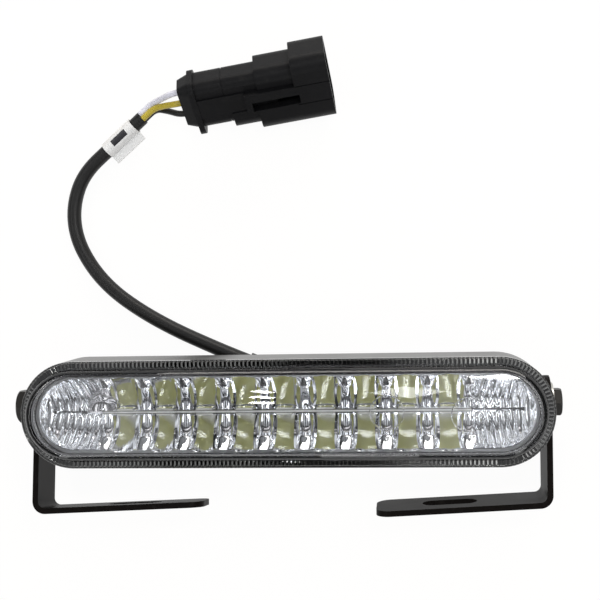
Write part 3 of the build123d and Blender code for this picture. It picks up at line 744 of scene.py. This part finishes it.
def add_ends(shape):
    # on both sides the tail of each row past its last cell, the end of the slot and the fluted bowl
    row_tail = [ROW_END + t * (SLOT_END - ROW_END) for t in (0, 0.33, 0.67, 1)]
    end_tail = [SLOT_END + t * (STRAIGHT_HALF - SLOT_END) for t in np.linspace(0, 1, 45)]
    slot_middle = [-SLOT_HALF, -RIDGE_HALF, 0.0, RIDGE_HALF, SLOT_HALF]
    middle = [-y for y in reversed(ACROSS)] + [-RIDGE_HALF, 0.0, RIDGE_HALF] + ACROSS
    angles = [math.radians(a) for a in np.linspace(-90, 90, 145)]
    for side in (-1, 1):
        def surface_point(x, y):
            return side * x, y, tail_height(x, y)

        def base_point(x, y):
            return side * x, y, MIRROR_BASE_Z

        def bowl_point(angle, radius):
            x, y = bowl_spot(side, angle, radius)
            return x, y, end_height(abs(x), y)

        for half in (-1, 1):
            sheet(shape, row_tail, [half * y for y in ACROSS], surface_point)
            slot_wall(shape, [(side * x, half * SLOT_HALF) for x in row_tail], tail_height)
            sheet(shape, row_tail, (half * MIRROR_HALF, half * SLOT_HALF), base_point)
            for tail in (row_tail, end_tail):
                skirt(shape, [(side * x, half * MIRROR_HALF) for x in tail])
        sheet(shape, end_tail, middle, surface_point)
        slot_wall(shape, [(side * SLOT_END, y) for y in slot_middle], tail_height)
        sheet(shape, end_tail, [-MIRROR_HALF] + slot_middle + [MIRROR_HALF], base_point)
        sheet(shape, angles, [0.0, RIDGE_HALF] + ACROSS, bowl_point)
        skirt(shape, [bowl_spot(side, angle, MIRROR_HALF) for angle in angles])
        sheet(shape, angles, (0.0, RIDGE_HALF, SLOT_HALF, MIRROR_HALF),
              lambda angle, radius: (*bowl_spot(side, angle, radius), MIRROR_BASE_Z))


def add_half_dome(shape):
    # quarter ball standing beside the ridge, where the board ends
    tilts, turns = HALF_DOME_STEPS

    def point(j, i):
        tilt = math.pi * i / tilts
        angle = math.pi * j / turns
        out = HALF_DOME_RADIUS * math.sin(tilt)
        return (HALF_DOME_X + out * math.cos(angle), SLOT_HALF + out * math.sin(angle),
                HALF_DOME_Z + HALF_DOME_RADIUS * math.cos(tilt))

    sheet(shape, range(turns + 1), range(tilts + 1), point)


def ridge_mesh():
    # roofed ridge in line with the board at each end, with the half dome beside it
    ridge = bmesh.new()
    eaves = BOARD_FRONT_Z - ROOF_DROP
    roof = ((-RIDGE_HALF, CUP_Z), (-RIDGE_HALF, eaves), (0.0, BOARD_FRONT_Z), (RIDGE_HALF, eaves),
            (RIDGE_HALF, CUP_Z))
    for side in (-1, 1):
        ends = sorted((side * (SLOT_END + RIDGE_GAP), side * RIDGE_END))
        patch(ridge, [[(x, y, z) for x in ends] for y, z in roof])
    add_half_dome(ridge)
    bmesh.ops.remove_doubles(ridge, verts=ridge.verts, dist=MIRROR_MERGE)
    bmesh.ops.holes_fill(ridge, edges=ridge.edges, sides=0)
    bmesh.ops.recalc_face_normals(ridge, faces=ridge.faces)
    mesh = bpy.data.meshes.new("ridge")
    ridge.to_mesh(mesh)
    ridge.free()
    return mesh


def make_reflector():
    shape = bmesh.new()
    shape.from_mesh(cell_rows())
    add_ends(shape)
    bmesh.ops.remove_doubles(shape, verts=shape.verts, dist=MIRROR_MERGE)
    bmesh.ops.dissolve_degenerate(shape, edges=shape.edges, dist=SPECK)
    bmesh.ops.recalc_face_normals(shape, faces=shape.faces)
    shape.from_mesh(ridge_mesh())
    mesh = bpy.data.meshes.new("reflector_coating")
    shape.to_mesh(mesh)
    shape.free()
    mesh.shade_smooth()
    mesh.set_sharp_from_angle(angle=math.radians(MIRROR_CREASE))
    add_piece("reflector_coating", mesh, "mirror_coating", "reflector")


# Cable on its smooth route
def make_cable():
    curve = bpy.data.curves.new("cable", "CURVE")
    curve.dimensions = "3D"
    spline = curve.splines.new("NURBS")
    spline.points.add(len(CABLE_ROUTE) - 1)
    for point, spot in zip(spline.points, CABLE_ROUTE):
        point.co = (*(Vector(spot) * MM), 1.0)
    spline.order_u = 3
    spline.use_endpoint_u = True
    spline.resolution_u = 10
    curve.bevel_depth = CABLE_RADIUS * MM
    curve.bevel_resolution = 6
    curve.use_fill_caps = True
    cable = bpy.data.objects.new("cable", curve)
    scene.collection.objects.link(cable)
    curve.materials.append(FINISH["cable_black"])
    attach(cable, "lamp")
    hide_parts("cable_sheath")


make_lens()
make_reflector()
make_cable()

# Floor, world and lamps, in metres
FLOOR_HALF = 3.0
FLOOR_Z = -0.0002
FLOOR_GLOW = 1.04
FLOOR_GLOW_SHARE = 0.92
LAMP_AIM = Vector((0.0, 0.0, 0.02))
WALL_LIGHT = 0.18
BAND_HEIGHT = 0.12
PANEL_LIGHT = (0.03, 0.95)
PANEL_COUNT = 14.0
PANEL_SHIFT = 0.2


def background_rays(tree):
    # 1 for rays that show the background: straight to the camera, off metal and through glass
    path = add(tree, "ShaderNodeLightPath").outputs
    bounced = maths(tree, "MAXIMUM", path["Is Glossy Ray"], path["Is Transmission Ray"])
    return maths(tree, "MAXIMUM", path["Is Camera Ray"], bounced)


def make_floor():
    mesh = bpy.data.meshes.new("floor")
    corners = [(x * FLOOR_HALF, y * FLOOR_HALF, FLOOR_Z) for x, y in ((-1, -1), (1, -1), (1, 1), (-1, 1))]
    mesh.from_pydata(corners, [], [(0, 1, 2, 3)])
    floor = bpy.data.objects.new("floor", mesh)
    scene.collection.objects.link(floor)
    material, tree, shader = new_material("pale_floor")
    shader.inputs["Base Color"].default_value = (0.74, 0.67, 0.58, 1.0)
    shader.inputs["Roughness"].default_value = 0.9
    glow = add(tree, "ShaderNodeEmission")
    glow.inputs["Strength"].default_value = FLOOR_GLOW
    mix = add(tree, "ShaderNodeMixShader")
    link = tree.links.new
    link(maths(tree, "MULTIPLY", background_rays(tree), FLOOR_GLOW_SHARE), mix.inputs["Fac"])
    link(shader.outputs["BSDF"], mix.inputs[1])
    link(glow.outputs["Emission"], mix.inputs[2])
    link(mix.outputs["Shader"], tree.nodes["Material Output"].inputs["Surface"])
    mesh.materials.append(material)


def make_lamp(name, spot, size, brightness, colour=(1.0, 1.0, 1.0), behind_glass=False):
    # soft box turned to the lamp, as bright in itself as stated; behind_glass lights only what glass covers
    light = bpy.data.lights.new(name, "AREA")
    light.shape = "RECTANGLE"
    light.size, light.size_y = size
    light.energy = brightness * math.pi * size[0] * size[1]
    light.color = colour
    lamp = bpy.data.objects.new(name, light)
    aim = (LAMP_AIM - Vector(spot)).to_track_quat("-Z", "Y")
    lamp.matrix_world = Matrix.Translation(spot) @ aim.to_matrix().to_4x4()
    if behind_glass:
        lamp.visible_diffuse = False
        lamp.visible_glossy = False
    scene.collection.objects.link(lamp)


def make_world():
    # room with rows of bright panels overhead and plain walls, white in a low band behind the floor's edge
    world = bpy.data.worlds.new("studio")
    scene.world = world
    world.use_nodes = True
    tree = world.node_tree
    x, _, z = axes(tree, add(tree, "ShaderNodeTexCoord").outputs["Generated"])
    slant = maths(tree, "DIVIDE", x, maths(tree, "MAXIMUM", z, 0.1))
    wave = maths(tree, "SINE", maths(tree, "MULTIPLY_ADD", slant, PANEL_COUNT, PANEL_SHIFT))
    panels = ranged(tree, wave, -0.2, 0.6, *PANEL_LIGHT)
    room = blend(tree, "FLOAT", ranged(tree, z, 0.4, 0.75), WALL_LIGHT, panels)
    band = maths(tree, "MULTIPLY", maths(tree, "LESS_THAN", z, BAND_HEIGHT), background_rays(tree))
    background = tree.nodes["Background"]
    tree.links.new(blend(tree, "FLOAT", band, room, 1.0), background.inputs["Strength"])
    background.inputs["Color"].default_value = (0.97, 0.98, 1.0, 1.0)


make_floor()
make_world()
make_lamp("left", spot=(-0.50, 0.0, 0.55), size=(1.0, 0.2), brightness=1.6)
make_lamp("right", spot=(0.36, 0.05, 0.60), size=(0.9, 0.16), brightness=1.8)
make_lamp("back", spot=(0.15, 0.8, 0.30), size=(0.8, 0.25), brightness=6.0, colour=(1.0, 0.96, 0.91))
for x in (-0.36, 0.0, 0.30):
    make_lamp("front", spot=(x, -0.7, 0.40), size=(0.10, 0.5), brightness=2.5)
make_lamp("near", spot=(0.038, 0.046, 0.372), size=(0.035, 0.035), brightness=24.0, behind_glass=True)
make_lamp("spark", spot=(0.10, 0.130, 0.37), size=(0.035, 0.05), brightness=36.0)
for y in (0.013, 0.049, 0.085):
    make_lamp("overhead", spot=(-0.080, y, 0.6), size=(0.012, 0.02), brightness=40.0)
